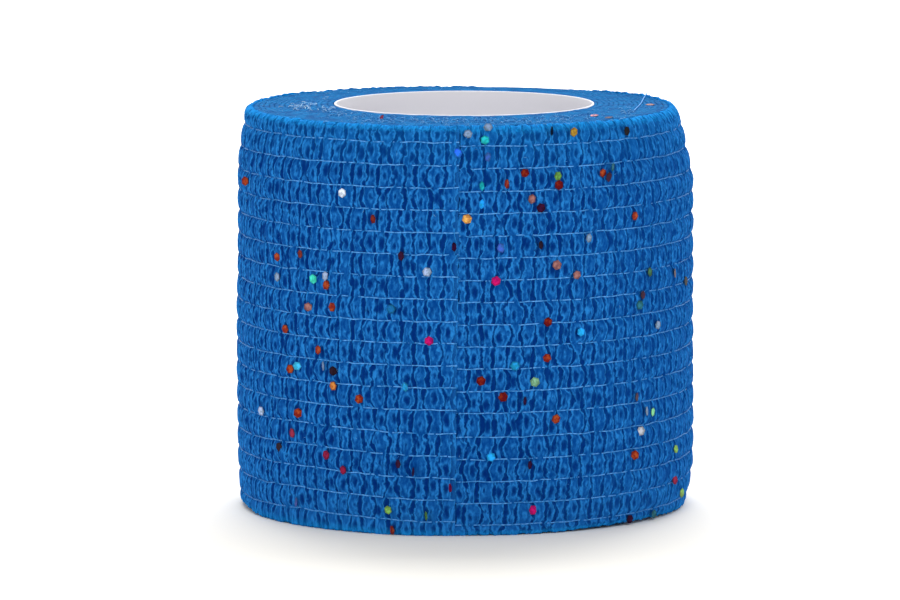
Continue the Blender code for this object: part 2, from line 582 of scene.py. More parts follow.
def wound_place(grower, turn, radius, height):
    """The point in space of a place on the winding."""
    tree = grower.tree
    roll, bore = grower.size("Roll Radius"), grower.size("Bore Radius")
    foot, top = OUTER_END_LEAN
    lean = (foot + height * ((top - foot) / STRIP_WIDTH)) / ROLL_RADIUS
    angle = turn * math.tau + lean
    offset = grower.size("Winding Offset") * (radius - bore) / (roll - bore)
    x = radius * reckon(tree, "SINE", angle) + offset
    y = radius * reckon(tree, "COSINE", angle) * -1.0
    return place_of(tree, x, y, height)


def stray_of(tree, turn, rise):
    """How far the strip's nearer edge has strayed up or down, once round from the outer end."""
    at_foot = swing(tree, turn, [(stray.turn, stray.foot) for stray in STRAY_EDGES], STRAY_MOST)
    at_top = swing(tree, turn, [(stray.turn, stray.top) for stray in STRAY_EDGES], STRAY_MOST)
    near_foot = ramp(tree, rise, 0.0, STRAY_REACH, 1.0, 0.0)
    near_top = ramp(tree, rise, STRIP_WIDTH - STRAY_REACH, STRIP_WIDTH)
    return at_foot * near_foot + at_top * near_top


def end_turn(tree, rise):
    """Where the strip's outer end lies at that rise: torn by hand, so not quite straight."""
    ragged = pattern(tree, rise, 1.0, RAGGED_END) - 0.5
    return OUTER_END_TURN + ragged * (OUTER_END_RAGGED / TURN_LENGTH)


def pressing(tree, turn, rise):
    """Distance from the outer end, and how far the end is pressed flat: 0 off it, 1 at its edge."""
    from_end = (end_turn(tree, rise) - turn) * TURN_LENGTH
    return from_end, ramp(tree, from_end, 0.0, PRESSED_LENGTH, 1.0, 0.0, smooth=False)


def strip_skin(grower, section_points):
    """A closed skin to be laid out as the strip: its faces, share of the length and section point."""
    line = grower.add("GeometryNodeCurvePrimitiveLine")
    path = grower.add("GeometryNodeResampleCurve", curve=grower.out(line), count=grower.size("Columns"))
    share = grower.out(grower.add("GeometryNodeSplineParameter"), "Factor")
    path, share = grower.keep(grower.out(path), share)
    ring = grower.add("GeometryNodeCurvePrimitiveCircle", resolution=section_points)
    index = grower.out(grower.add("GeometryNodeInputIndex"))
    ring, index = grower.keep(grower.out(ring), index)
    skin = grower.add("GeometryNodeCurveToMesh", curve=path, profile_curve=ring, fill_caps=True)
    return grower.out(skin), share, index


def make_outer_turn(surface):
    """The turn that shows: a sheet puckered on its outer face, plain on the hidden one."""
    step = THREAD_PITCH / STEPS_A_ROW
    below = math.ceil(FIRST_THREAD_HEIGHT / step)
    rows_up = below + math.ceil((STRIP_WIDTH - FIRST_THREAD_HEIGHT) / step) + 1
    rows_down = 4
    grower = Tree("outer turn", {"Columns": OUTER_COLUMNS, "Cloth Thickness": CLOTH_THICKNESS, **WINDING})
    tree = grower.tree
    skin, share, index = strip_skin(grower, rows_up + rows_down)

    outside = reckon(tree, "LESS_THAN", index, rows_up - 0.5)
    up = FIRST_THREAD_HEIGHT + (index - below) * step
    up = reckon(tree, "MINIMUM", reckon(tree, "MAXIMUM", up, 0.0), STRIP_WIDTH)
    down = STRIP_WIDTH * (1.0 - (index - rows_up) / (rows_down - 1.0))
    rise = up * outside + down * (1.0 - outside)
    turn = HIDDEN_START + share * (end_turn(tree, rise) - HIDDEN_START)
    along = turn * TURN_LENGTH

    height = level_at(grower, turn, rise)
    radius, squeeze = wound_radius(grower, turn, height)
    from_edge = reckon(tree, "MINIMUM", rise, STRIP_WIDTH - rise)
    from_end, pressed = pressing(tree, turn, rise)
    whole = ramp(tree, from_edge, 0.0, EDGE_ROUNDING_REACH) * ramp(tree, from_end, 0.0, END_ROUNDING_REACH)
    relief = (cloth_relief(tree, along, rise) - THREAD_DEPTH) * (1.0 - PRESSED_FLAT * pressed)
    relief = relief - (1.0 - whole) * EDGE_ROUNDING - pressed * OUTER_END_PRESS
    under = (grower.size("Cloth Thickness") - THREAD_DEPTH) * squeeze + THREAD_DEPTH
    radius = radius + outside * relief - (1.0 - outside) * under
    ragged = pattern(tree, along, 1.0, RAGGED_EDGE) - 0.5
    height = height + ragged * ramp(tree, from_edge, 0.0, EDGE_RAGGED_REACH, EDGE_RAGGED, 0.0)
    height = height - ramp(tree, rise, STRIP_WIDTH - EDGE_SAG_REACH, STRIP_WIDTH) * EDGE_SAG
    height = height + stray_of(tree, turn, rise)
    place = wound_place(grower, turn, radius, reckon(tree, "MAXIMUM", height, 0.0))

    laid = grower.out(grower.add("GeometryNodeSetPosition", geometry=skin, position=place))
    marked = grower.store(laid, "strip", place_of(tree, along, rise, 0.0), "FLOAT2", "CORNER")
    turned = grower.out(grower.add("GeometryNodeFlipFaces", mesh=marked))
    return grower.grow("outer_turn", turned, surface)


# The turns under the outer one: the heights of their section's points, up the outer face and
# down the inner one, then how close they lie, how unevenly they are wound, how their top edges
# stand up at the bore and fall off outwards, and how near the innermost one comes to the tube
UNDER_UP = (0.0, 0.10, 0.45, 20.0, 41.0, 46.0, 49.55, 49.90, 50.0)
UNDER_DOWN = (50.0, 49.90, 41.0, 0.10, 0.0)
UNDER_END_ROOM = 0.012
UNDER_FILL = 0.99
UNDER_WAVE = 0.55 * MM
UNDER_WAVE_STARTS = Fade(BORE_RADIUS + 0.2 * MM, BORE_RADIUS + 1.2 * MM)
UNDER_ROUNDING = 0.03 * MM
UNDER_ROUNDING_REACH = 0.4 * MM
UNDER_RAGGED = 0.3 * MM
UNDER_TOP_RISE = 0.12 * MM
UNDER_TOP_FALL = 0.32 * MM
UPPER_HALF = Fade(25.0 * MM, 26.0 * MM)
INNERMOST = Fade(BORE_RADIUS, BORE_RADIUS + 1.0 * MM, 1.0, 0.0)
INNERMOST_TOP = Fade(STRIP_WIDTH - 0.6 * MM, STRIP_WIDTH - 0.1 * MM)
INNERMOST_GAP = 0.06 * MM


def make_turns_under(surface):
    """The turns under the outer one, whose cut edges make the roll's two ends."""
    levels = [height * MM for height in UNDER_UP + UNDER_DOWN]
    grower = Tree("turns under", {"Columns": UNDER_COLUMNS, **WINDING})
    tree = grower.tree
    skin, share, index = strip_skin(grower, len(levels))

    turn = share * (TURNS_UNDER - UNDER_END_ROOM) - TURNS_UNDER
    outside = reckon(tree, "LESS_THAN", index, len(UNDER_UP) - 0.5)
    last = len(levels) - 1.0
    points = [(number / last, level / STRIP_WIDTH) for number, level in enumerate(levels)]
    rise = outline(tree, index / last, points) * STRIP_WIDTH
    radius, squeeze = wound_radius(grower, turn, rise)
    from_edge = reckon(tree, "MINIMUM", rise, STRIP_WIDTH - rise)
    rounding = ramp(tree, from_edge, 0.0, UNDER_ROUNDING_REACH, UNDER_ROUNDING, 0.0, smooth=False)
    radius = radius - THREAD_DEPTH * 0.5 - (1.0 - outside) * TURN_THICKNESS * UNDER_FILL * squeeze
    radius = radius + rounding * (1.0 - outside * 2.0)

    flat = wound_place(grower, turn, radius, 0.0)
    wave = noise(tree, flat, 900.0, 2.0) - 0.5
    radius = radius + wave * UNDER_WAVE * ramp(tree, radius, *UNDER_WAVE_STARTS)
    radius = reckon(tree, "MAXIMUM", radius, BORE_RADIUS)
    drawn_in = ramp(tree, radius, *INNERMOST) * ramp(tree, rise, *INNERMOST_TOP)
    radius = radius - drawn_in * (SEAT_GAP - INNERMOST_GAP)
    ragged = noise(tree, flat, 420.0, 3.0) - 0.5
    upper = ramp(tree, rise, *UPPER_HALF)
    outwards = ramp(tree, radius, BORE_RADIUS, ROLL_RADIUS)
    height = rise + upper * (ragged * UNDER_RAGGED + UNDER_TOP_RISE - outwards * UNDER_TOP_FALL)
    follows = ramp(tree, turn, -STRAY_TURNS, 0.0, 0.0, STRAY_UNDER) * (1.0 - upper)
    height = height + stray_of(tree, reckon(tree, "FRACT", turn), rise) * follows
    place = wound_place(grower, turn, radius, height)

    laid = grower.out(grower.add("GeometryNodeSetPosition", geometry=skin, position=place))
    turned = grower.out(grower.add("GeometryNodeFlipFaces", mesh=laid))
    return grower.grow("turns_under", turned, surface)


def make_tube(surface):
    """The thin tube in the roll's bore, its lips rounded over, turned with a Screw modifier."""
    inner = TUBE_RADIUS - TUBE_WALL
    top = [(inner + lip.side, 0.0, TUBE_HEIGHT - lip.drop) for lip in TUBE_LIP]
    base = [(inner + lip.side, 0.0, lip.drop) for lip in reversed(TUBE_LIP)]
    section = top + base
    edges = [(corner, (corner + 1) % len(section)) for corner in range(len(section))]
    mesh = bpy.data.meshes.new("tube section")
    mesh.from_pydata(section, edges, [])
    turned = bpy.data.objects.new("tube section", mesh)
    bpy.context.scene.collection.objects.link(turned)
    screw = turned.modifiers.new("turned", "SCREW")
    screw.axis = "Z"
    screw.steps = screw.render_steps = TUBE_STEPS
    screw.use_merge_vertices = True
    screw.merge_threshold = 0.00001
    screw.use_normal_calculate = True
    graph = bpy.context.evaluated_depsgraph_get()
    wall = bpy.data.meshes.new_from_object(turned.evaluated_get(graph), depsgraph=graph)
    bpy.data.objects.remove(turned)
    wall.materials.append(surface)
    wall.shade_smooth()
    tube = bpy.data.objects.new("white_tube", wall)
    bpy.context.scene.collection.objects.link(tube)
    return tube


def make_threads(surface):
    """The elastic threads, in their grooves, cut off with the cloth at the outer end."""
    grower = Tree("elastic threads", {"Threads": THREAD_COUNT, "Columns": THREAD_COLUMNS, **WINDING})
    tree = grower.tree
    line = grower.add("GeometryNodeCurvePrimitiveLine")
    path = grower.add("GeometryNodeResampleCurve", curve=grower.out(line), count=grower.size("Columns"))
    copies = grower.add(
        "GeometryNodeDuplicateElements",
        {"domain": "SPLINE"},
        geometry=grower.out(path),
        amount=grower.size("Threads"),
    )
    strands, number = grower.keep(grower.out(copies, "Geometry"), grower.out(copies, "Duplicate Index"))
    strands, share = grower.keep(strands, grower.out(grower.add("GeometryNodeSplineParameter"), "Factor"))

    level = FIRST_THREAD_HEIGHT + number * THREAD_PITCH
    turn = HIDDEN_START + share * (end_turn(tree, level) - HIDDEN_START)
    along = turn * TURN_LENGTH
    waver = pattern(tree, along, number, WAVERING_THREADS) - 0.5
    rise = level + waver * THREAD_WAVER
    height = level_at(grower, turn, rise)
    radius = wound_radius(grower, turn, height)[0]
    height = height + stray_of(tree, turn, rise)
    cover = thread_cover(tree, along, number)
    pressed = pressing(tree, turn, level)[1]
    radius = radius - (1.0 - PRESSED_FLAT * pressed) * THREAD_DEPTH - pressed * OUTER_END_PRESS
    radius = radius + (1.0 - cover * THREAD_COVERED) * THREAD_STANDS
    place = wound_place(grower, turn, radius, height)
    laid = grower.add("GeometryNodeSetPosition", geometry=strands, position=place)
    section = grower.add("GeometryNodeCurvePrimitiveCircle", resolution=6, radius=THREAD_RADIUS)
    tubes = grower.add(
        "GeometryNodeCurveToMesh",
        curve=grower.out(laid),
        profile_curve=grower.out(section),
        fill_caps=True,
    )
    marked = grower.store(grower.out(tubes), "strip", place_of(tree, along, number, 0.0), "FLOAT2", "CORNER")
    return grower.grow("elastic_threads", marked, surface)


# ------------------------------------------------ glitter and fibres on the cloth

# Where each flake shows in the photograph, and how far it is turned away from the camera, in
# degrees; 0 means that it lies flat on the cloth. On the top end it is tipped up instead, and
# aside turns it about the upright.
Spot = namedtuple("Spot", "across down tilt aside", defaults=(0, 0))
GLITTER = {
    "white": (Spot(342, 193),),
    "pearl": (Spot(427, 272), Spot(261, 411, 50), Spot(325, 276, 45)),
    "silver": (
        Spot(468, 134), Spot(589, 238, 58), Spot(277, 277, 55), Spot(647, 411, 70),
        Spot(658, 325, 55), Spot(323, 366, 72), Spot(488, 130, 58),
    ),
    "grey": (Spot(641, 431, 35),),
    "teal": (Spot(391, 309),),
    "sky": (Spot(515, 366), Spot(405, 387, 50)),
    "cyan": (Spot(297, 366, 20),),
    "azure": (Spot(482, 204, 50), Spot(581, 332), Spot(491, 457)),
    "turquoise": (Spot(485, 140), Spot(482, 186, 60)),
    "mint": (Spot(313, 279, 45),),
    "amber": (Spot(467, 219),),
    "leaf": (Spot(558, 176, 30), Spot(426, 516, 68)),
    "green": (Spot(653, 412, 62),),
    "sea green": (Spot(640, 305, 50), Spot(613, 167, 66), Spot(654, 514, 60)),
    "pale green": (Spot(535, 382),),
    "lime": (Spot(388, 510, 35), Spot(676, 449, 55), Spot(682, 493, 60)),
    "dark green": (Spot(650, 272, 58),),
    "blue": (Spot(458, 153, 35),),
    "violet": (Spot(501, 248, 30), Spot(488, 157, 50)),
    "dark violet": (Spot(296, 502, 68),),
    "magenta": (Spot(496, 281), Spot(429, 341), Spot(533, 510, 35)),
    "pink": (Spot(594, 116, 4),),
    "crimson": (
        Spot(292, 433, 58), Spot(326, 455, 50), Spot(343, 470, 50), Spot(675, 480, 52),
        Spot(450, 488, 70), Spot(381, 119, 60, -66),
    ),
    "rust": (
        Spot(603, 173), Spot(635, 216, 50), Spot(547, 358), Spot(556, 419, 30), Spot(298, 413, 20),
        Spot(277, 257, 45), Spot(285, 329), Spot(318, 350, 50), Spot(635, 455, 28), Spot(290, 369, 35),
        Spot(359, 399), Spot(332, 307, 40), Spot(326, 285, 40), Spot(507, 184, 60), Spot(245, 181, 40),
        Spot(392, 531, 55),
    ),
    "dark red": (
        Spot(525, 173), Spot(559, 185), Spot(548, 322), Spot(481, 381), Spot(503, 397),
        Spot(373, 219, 55), Spot(300, 254, 58),
    ),
    "maroon": (
        Spot(401, 256, 50), Spot(454, 247, 62), Spot(525, 401, 70), Spot(530, 465, 58),
        Spot(541, 208), Spot(398, 464, 58), Spot(643, 295, 62), Spot(637, 397, 74),
        Spot(630, 519, 45), Spot(413, 472, 76), Spot(675, 273, 76), Spot(609, 177, 52),
        Spot(609, 118, 2),
    ),
    "brown": (Spot(541, 245, 58), Spot(279, 447, 55), Spot(333, 371, 40)),
    "copper": (
        Spot(577, 275), Spot(308, 307, 20), Spot(557, 265), Spot(532, 199, 40), Spot(650, 105, 4),
    ),
    "gold": (Spot(333, 386, 40),),
    "ochre": (Spot(574, 132, 40),),
    "black": (Spot(627, 131, 50), Spot(552, 131, 74), Spot(686, 281, 66)),
}
TINTS = {
    "white": (0.60, 0.68, 0.84),
    "pearl": (0.27, 0.36, 0.55),
    "silver": (0.15, 0.23, 0.36),
    "grey": (0.34, 0.37, 0.43),
    "teal": (0.006, 0.115, 0.30),
    "sky": (0.010, 0.25, 0.56),
    "cyan": (0.040, 0.44, 0.78),
    "azure": (0.014, 0.36, 0.90),
    "turquoise": (0.012, 0.40, 0.45),
    "mint": (0.035, 0.54, 0.42),
    "amber": (0.60, 0.29, 0.075),
    "leaf": (0.10, 0.24, 0.05),
    "green": (0.16, 0.52, 0.24),
    "sea green": (0.014, 0.115, 0.16),
    "pale green": (0.18, 0.38, 0.23),
    "lime": (0.18, 0.36, 0.075),
    "dark green": (0.020, 0.095, 0.044),
    "blue": (0.020, 0.16, 0.88),
    "violet": (0.035, 0.110, 0.44),
    "dark violet": (0.016, 0.050, 0.26),
    "magenta": (0.42, 0.004, 0.12),
    "pink": (0.50, 0.16, 0.17),
    "crimson": (0.19, 0.004, 0.040),
    "rust": (0.25, 0.030, 0.010),
    "dark red": (0.135, 0.006, 0.004),
    "maroon": (0.028, 0.002, 0.022),
    "brown": (0.014, 0.005, 0.013),
    "copper": (0.24, 0.10, 0.10),
    "gold": (0.42, 0.13, 0.030),
    "ochre": (0.30, 0.17, 0.022),
    "black": (0.002, 0.001, 0.003),
}
FLAKE_RADIUS = 0.61 * MM
FLAKE_THICKNESS = 0.04 * MM
FLAKE_LIFT = 0.04 * MM
FLAKE_LIFT_MOST = 0.3 * MM
FLAKE_LIFT_ON_BASE = -0.01 * MM
FLAKE_SIZES = (0.90, 1.02)
FLAKE_UNEVENNESS = 0.10
FLAKES_BEHIND = 95
TILTS_BEHIND = (0.0, 0.0, 12.0, -15.0, 25.0)
FLAKES_ON_BASE = 8
FRONT_HALF = math.radians(97.0)


class Sprinkle:
    """Places on the cloth, each with a facing, a spin, a size and a tint."""

    def __init__(self, cloths, seed):
        graph = bpy.context.evaluated_depsgraph_get()
        self.trees = [BVHTree.FromObject(cloth, graph) for cloth in cloths]
        self.luck = random.Random(seed)
        self.places, self.facings, self.spins, self.sizes, self.tints = [], [], [], [], []

    def struck(self, start, direction):
        """Where a straight line first meets the cloth, or None."""
        hits = [tree.ray_cast(start, direction) for tree in self.trees]
        hits = [hit for hit in hits if hit[0] is not None]
        return min(hits, key=lambda hit: hit[3])[0] if hits else None

    def seen(self, across, down):
        """Where the camera's line through that point of the photograph meets the cloth."""
        return self.struck(CAMERA_PLACE, camera_line(across, down))

    def from_side(self, angle, height):
        """Where a level line from outside, at that angle and height, meets the roll's side."""
        outward = Vector((math.sin(angle), -math.cos(angle), 0.0))
        return self.struck(outward * 0.1 + Vector((0.0, 0.0, height)), -outward)

    def from_end(self, angle, radius, upwards):
        """Where an upright line meets the top end, or the base."""
        way = -1.0 if upwards else 1.0
        start = (radius * math.sin(angle), -radius * math.cos(angle), STRIP_WIDTH / 2 - way * 0.1)
        return self.struck(Vector(start), Vector((0.0, 0.0, way)))

    def outward(self, place):
        """The way the cloth faces there: up on the top end, down on the base, else sideways."""
        if place.z > STRIP_WIDTH - 0.6 * MM:
            return Vector((0.0, 0.0, 1.0))
        if place.z < 0.3 * MM:
            return Vector((0.0, 0.0, -1.0))
        return Vector((place.x, place.y, 0.0)).normalized()

    def crest(self, place, facing, reach):
        """How far the cloth round a place stands out past it, at most."""
        across = facing.orthogonal().normalized()
        around = [Matrix.Rotation(math.pi * step / 3.0, 3, facing) @ across for step in range(6)]
        hits = [self.struck(place + way * reach + facing * 5.0 * MM, -facing) for way in around]
        return max([(hit - place).dot(facing) for hit in hits if hit is not None] + [0.0])

    def put(self, place, facing, size, tint, lift=0.0):
        """Adds one place, with a spin drawn by lot."""
        self.places.append(place + facing * lift)
        self.facings.append(facing)
        self.spins.append(self.luck.uniform(0.0, 2.0 * math.pi))
        self.sizes.append(size)
        self.tints.append(tint)

    def mesh(self, name):
        """The places as loose points, with all they carry."""
        mesh = bpy.data.meshes.new(name)
        mesh.from_pydata(self.places, [], [])
        kinds = {"facing": "FLOAT_VECTOR", "spin": "FLOAT", "size": "FLOAT", "tint": "FLOAT_COLOR"}
        for attribute, kind in kinds.items():
            mesh.attributes.new(attribute, kind, "POINT")
        marks = mesh.attributes
        for number in range(len(self.places)):
            marks["facing"].data[number].vector = self.facings[number]
            marks["spin"].data[number].value = self.spins[number]
            marks["size"].data[number].value = self.sizes[number]
            marks["tint"].data[number].color = (*self.tints[number], 1.0)
        return mesh


def camera_line(across, down):
    """The direction from the camera through a point of the photograph."""
    right = (across - PHOTO_WIDTH / 2) / FOCAL_PIXELS
    up = (PHOTO_HEIGHT / 2 - down) / FOCAL_PIXELS
    ahead = Vector((0.0, math.cos(CAMERA_PITCH), -math.sin(CAMERA_PITCH)))
    above = Vector((0.0, math.sin(CAMERA_PITCH), math.cos(CAMERA_PITCH)))
    return (Vector((1.0, 0.0, 0.0)) * right + above * up + ahead).normalized()


def set_on_spots(grower, shape):
    """Copies of a shape on the tree's spots, turned and sized by each spot's attributes."""

    def read(name, kind):
        node = grower.add("GeometryNodeInputNamedAttribute", {"data_type": kind}, name=name)
        return grower.out(node, "Attribute")

    facing = read("facing", "FLOAT_VECTOR")
    aimed = grower.add("FunctionNodeAlignRotationToVector", {"axis": "Z"}, vector=facing)
    spun = grower.add("FunctionNodeAxisAngleToRotation", axis=(0.0, 0.0, 1.0), angle=read("spin", "FLOAT"))
    turned = grower.add(
        "FunctionNodeRotateRotation",
        {"rotation_space": "LOCAL"},
        rotation=grower.out(aimed),
        rotate_by=grower.out(spun),
    )
    copies = grower.add(
        "GeometryNodeInstanceOnPoints",
        points=grower.size("Spots"),
        instance=shape,
        rotation=grower.out(turned),
        scale=read("size", "FLOAT"),
    )
    return grower.out(copies)


def make_glitter(cloths, surface):
    """Six-sided film flakes on the cloth: where the photograph shows them, and scattered behind."""
    spots = Sprinkle(cloths, 11)
    luck = spots.luck

    def lay(place, facing, tint, sight=None):
        """Sets a flake on the cloth; one that the camera sees is raised along that line of sight."""
        outward = spots.outward(place)
        stand = math.sqrt(max(1.0 - facing.dot(outward) ** 2, 0.0)) * FLAKE_RADIUS * 0.5
        if outward.z > 0.5:
            stand = 0.0
        lift = min(spots.crest(place, outward, FLAKE_RADIUS * 0.7), FLAKE_LIFT_MOST) + FLAKE_LIFT + stand
        if sight and outward.z < 0.5:
            place = place - sight * (lift / max(-sight.dot(outward), 0.3))
        else:
            place = place + outward * lift
        place.z = max(place.z, FLAKE_RADIUS)
        uneven = [luck.uniform(-FLAKE_UNEVENNESS, FLAKE_UNEVENNESS) for axis in range(3)]
        facing = (facing + Vector(uneven)).normalized()
        spots.put(place, facing, luck.uniform(*FLAKE_SIZES), TINTS[tint])

    for tint, flakes in GLITTER.items():
        for spot in flakes:
            place = spots.seen(spot.across, spot.down)
            if place is None:
                continue
            facing = spots.outward(place)
            if facing.z > 0.5:
                facing = Matrix.Rotation(math.radians(spot.tilt), 3, "X") @ facing
                facing = Matrix.Rotation(math.radians(spot.aside), 3, "Z") @ facing
            elif spot.tilt:
                heading = math.copysign(math.radians(spot.tilt), place.x)
                facing = Vector((math.sin(heading), -math.cos(heading), 0.0))
            lay(place, facing, tint, camera_line(spot.across, spot.down))
    common = [tint for tint, flakes in GLITTER.items() for spot in flakes]
    for number in range(FLAKES_BEHIND):
        angle = luck.uniform(FRONT_HALF, 2.0 * math.pi - FRONT_HALF)
        place = spots.from_side(angle, luck.uniform(0.6 * MM, STRIP_WIDTH - 1.5 * MM))
        tilt = luck.choice(TILTS_BEHIND)
        facing = Matrix.Rotation(math.radians(tilt), 3, "Z") @ spots.outward(place)
        lay(place, facing, luck.choice(common))
    for number in range(FLAKES_ON_BASE):
        radius = luck.uniform(BORE_RADIUS + 1.5 * MM, ROLL_RADIUS - 3.5 * MM)
        place = spots.from_end(luck.uniform(0.0, 2.0 * math.pi), radius, False)
        if place is not None and place.z < 0.1 * MM:
            spots.put(place, spots.outward(place), 1.0, TINTS[luck.choice(common)], FLAKE_LIFT_ON_BASE)

    grower = Tree(
        "glitter",
        {"Flake Radius": FLAKE_RADIUS, "Flake Thickness": FLAKE_THICKNESS},
        spots.mesh("glitter spots"),
    )
    flake = grower.add(
        "GeometryNodeMeshCylinder",
        {"fill_type": "TRIANGLE_FAN"},
        vertices=6,
        radius=grower.size("Flake Radius"),
        depth=grower.size("Flake Thickness"),
    )
    x, y = parts_of(grower.tree, grower.out(grower.add("GeometryNodeInputPosition")))[:2]
    from_middle = reckon(grower.tree, "SQRT", x * x + y * y) / grower.size("Flake Radius")
    marked = grower.store(grower.out(flake, "Mesh"), "from middle", from_middle, "FLOAT")
    return grower.grow("glitter_flakes", set_on_spots(grower, marked), surface, False)


FIBRE_RADIUS = 0.036 * MM
FIBRE_LENGTH = 0.50 * MM
FIBRES_ON_TOP = 200
FIBRES_ON_SIDE = 200
FIBRES_FROM_BORE = 1.3 * MM

# Where fibres lie thickest on the top end, in the photograph's pixels, and how pale they are
Tuft = namedtuple("Tuft", "across down wide deep fibres pale")
TUFTS = (
    Tuft(301, 107, 6, 1.6, 60, 1.0),
    Tuft(328, 109, 5, 2, 35, 0.8),
    Tuft(326, 100, 3, 3, 14, 0.6),
    Tuft(340, 114, 12, 2, 60, 0.4),
    Tuft(385, 119, 24, 2, 150, 0.3),
    Tuft(450, 121, 34, 2, 200, 0.3),
    Tuft(520, 121, 28, 2, 150, 0.3),
    Tuft(572, 118, 18, 3, 100, 0.3),
    Tuft(627, 113, 5, 3, 24, 0.4),
)


def make_fibres(cloths, surface):
    """Loose fibre ends that lie on the cloth, thickest on the roll's top end."""
    spots = Sprinkle(cloths, 23)
    luck = spots.luck

    def lay(place, size, pale):
        facing = spots.outward(place)
        facing = facing + Vector([luck.uniform(-0.25, 0.25) for axis in range(3)])
        pale = pale * luck.random()
        tint = [low + (high - low) * pale for low, high in zip(FLUFF_BLUE, FIBRE_PALE)]
        spots.put(place, facing.normalized(), size, tint)

    least = BORE_RADIUS + FIBRES_FROM_BORE
    for tuft in TUFTS:
        for number in range(tuft.fibres):
            place = spots.seen(luck.gauss(tuft.across, tuft.wide), luck.gauss(tuft.down, tuft.deep))
            if place is not None and math.hypot(place.x, place.y) > least:
                lay(place, luck.uniform(0.6, 1.3) * (1.0 + 0.4 * tuft.pale), tuft.pale)
    for number in range(FIBRES_ON_TOP):
        radius = math.sqrt(luck.uniform(least**2, (ROLL_RADIUS - 2.4 * MM) ** 2))
        place = spots.from_end(luck.uniform(0.0, 2.0 * math.pi), radius, True)
        if place is not None:
            lay(place, luck.uniform(0.4, 0.9), 0.3)
    for number in range(FIBRES_ON_SIDE):
        height = luck.uniform(0.8 * MM, STRIP_WIDTH - 0.8 * MM)
        lay(spots.from_side(luck.uniform(0.0, 2.0 * math.pi), height), luck.uniform(0.3, 0.8), 0.3)

    grower = Tree(
        "stray fibres",
        {"Fibre Radius": FIBRE_RADIUS, "Fibre Length": FIBRE_LENGTH},
        spots.mesh("fibre spots"),
    )
    length = grower.size("Fibre Length")
    arc = grower.add(
        "GeometryNodeCurveQuadraticBezier",
        resolution=4,
        start=(0.0, 0.0, -0.05 * MM),
        middle=place_of(grower.tree, length * 0.35, 0.0, length * 0.5),
        end=place_of(grower.tree, length * 0.95, length * 0.2, length * 0.02),
    )
    section = grower.add("GeometryNodeCurvePrimitiveCircle", resolution=3, radius=grower.size("Fibre Radius"))
    fibre = grower.add(
        "GeometryNodeCurveToMesh",
        curve=grower.out(arc),
        profile_curve=grower.out(section),
        fill_caps=True,
    )
    return grower.grow("stray_fibres", set_on_spots(grower, grower.out(fibre)), surface)


# The end of one elastic thread has come loose and lies across the top end
LOOSE_THREAD = (Spot(634, 111), Spot(638, 107), Spot(641, 104), Spot(644, 99), Spot(647, 95))
LOOSE_THREAD_RADIUS = 0.065 * MM
LOOSE_THREAD_LIFT = 0.06 * MM
LOOSE_THREAD_RISE = 0.20 * MM


def make_loose_thread(cloths, surface):
    """A loose end of thread, laid through the places where the photograph shows it."""
    spots = Sprinkle(cloths, 5)
    places = []
    for number, spot in enumerate(LOOSE_THREAD):
        place = spots.seen(spot.across, spot.down)
        lift = LOOSE_THREAD_LIFT + LOOSE_THREAD_RISE * (number / (len(LOOSE_THREAD) - 1)) ** 2
        if place is not None:
            places.append(place + Vector((0.0, 0.0, lift)))
    line = bpy.data.meshes.new("loose thread line")
    line.from_pydata(places, [(number, number + 1) for number in range(len(places) - 1)], [])
    grower = Tree("loose thread", {"Thread Radius": LOOSE_THREAD_RADIUS}, line)
    path = grower.add("GeometryNodeMeshToCurve", mesh=grower.size("Spots"))
    bent = grower.add("GeometryNodeCurveSplineType", {"spline_type": "CATMULL_ROM"}, curve=grower.out(path))
    share = grower.out(grower.add("GeometryNodeSplineParameter"), "Factor")
    thick = ramp(grower.tree, share, 0.20, 0.60, 0.45, 1.0)
    bent = grower.add("GeometryNodeSetCurveRadius", curve=grower.out(bent), radius=thick)
    radius = grower.size("Thread Radius")
    section = grower.add("GeometryNodeCurvePrimitiveCircle", resolution=8, radius=radius)
    thread = grower.add(
        "GeometryNodeCurveToMesh",
        curve=grower.out(bent),
        profile_curve=grower.out(section),
        fill_caps=True,
    )
    marked = grower.store(grower.out(thread), "strip", (0.0, 0.0, 0.0), "FLOAT2", "CORNER")
    return grower.grow("loose_thread", marked, surface)


# ------------------------------------------------------------------- materials


def new_material(name):
    """A fresh material, with its node tree and its shader."""
    surface = bpy.data.materials.new(name)
    surface.use_nodes = True
    tree = surface.node_tree
    return surface, tree, tree.nodes["Principled BSDF"]


def finish(tree, shader, color, **values):
    """Sets the shader's colour and its plain values, named in lower case with _ for a space."""
    plug(tree, color if isinstance(color, Wire) else (*color, 1.0), shader.inputs["Base Color"])
    for name, value in values.items():
        socket = next(s for s in shader.inputs if s.name.lower() == name.replace("_", " "))
        socket.default_value = value


def blend_of(tree, share, low, high):
    """A colour between two, each a wire or an (r, g, b)."""
    node = tree.nodes.new("ShaderNodeMix")
    node.data_type = "RGBA"
    plug(tree, share, node.inputs["Factor"])
    sockets = [s for s in node.inputs if s.type == "RGBA"]
    for value, socket in zip((low, high), sockets):
        plug(tree, value if isinstance(value, Wire) else (*value, 1.0), socket)
    return Wire(tree, next(s for s in node.outputs if s.type == "RGBA"))


def bump(tree, shader, height, distance, strength=1.0):
    """Shades the surface as if it rose and fell by that height."""
    node = tree.nodes.new("ShaderNodeBump")
    node.inputs["Distance"].default_value = distance
    node.inputs["Strength"].default_value = strength
    plug(tree, height, node.inputs["Height"])
    tree.links.new(node.outputs["Normal"], shader.inputs["Normal"])


def strip_place(tree):
    """How far along the strip a place lies, and its rise or its thread's number."""
    node = tree.nodes.new("ShaderNodeUVMap")
    node.uv_map = "strip"
    return parts_of(tree, Wire(tree, node.outputs["UV"]))[:2]


def object_place(tree):
    """The place in space, as the object has it."""
    return Wire(tree, tree.nodes.new("ShaderNodeTexCoord").outputs["Object"])


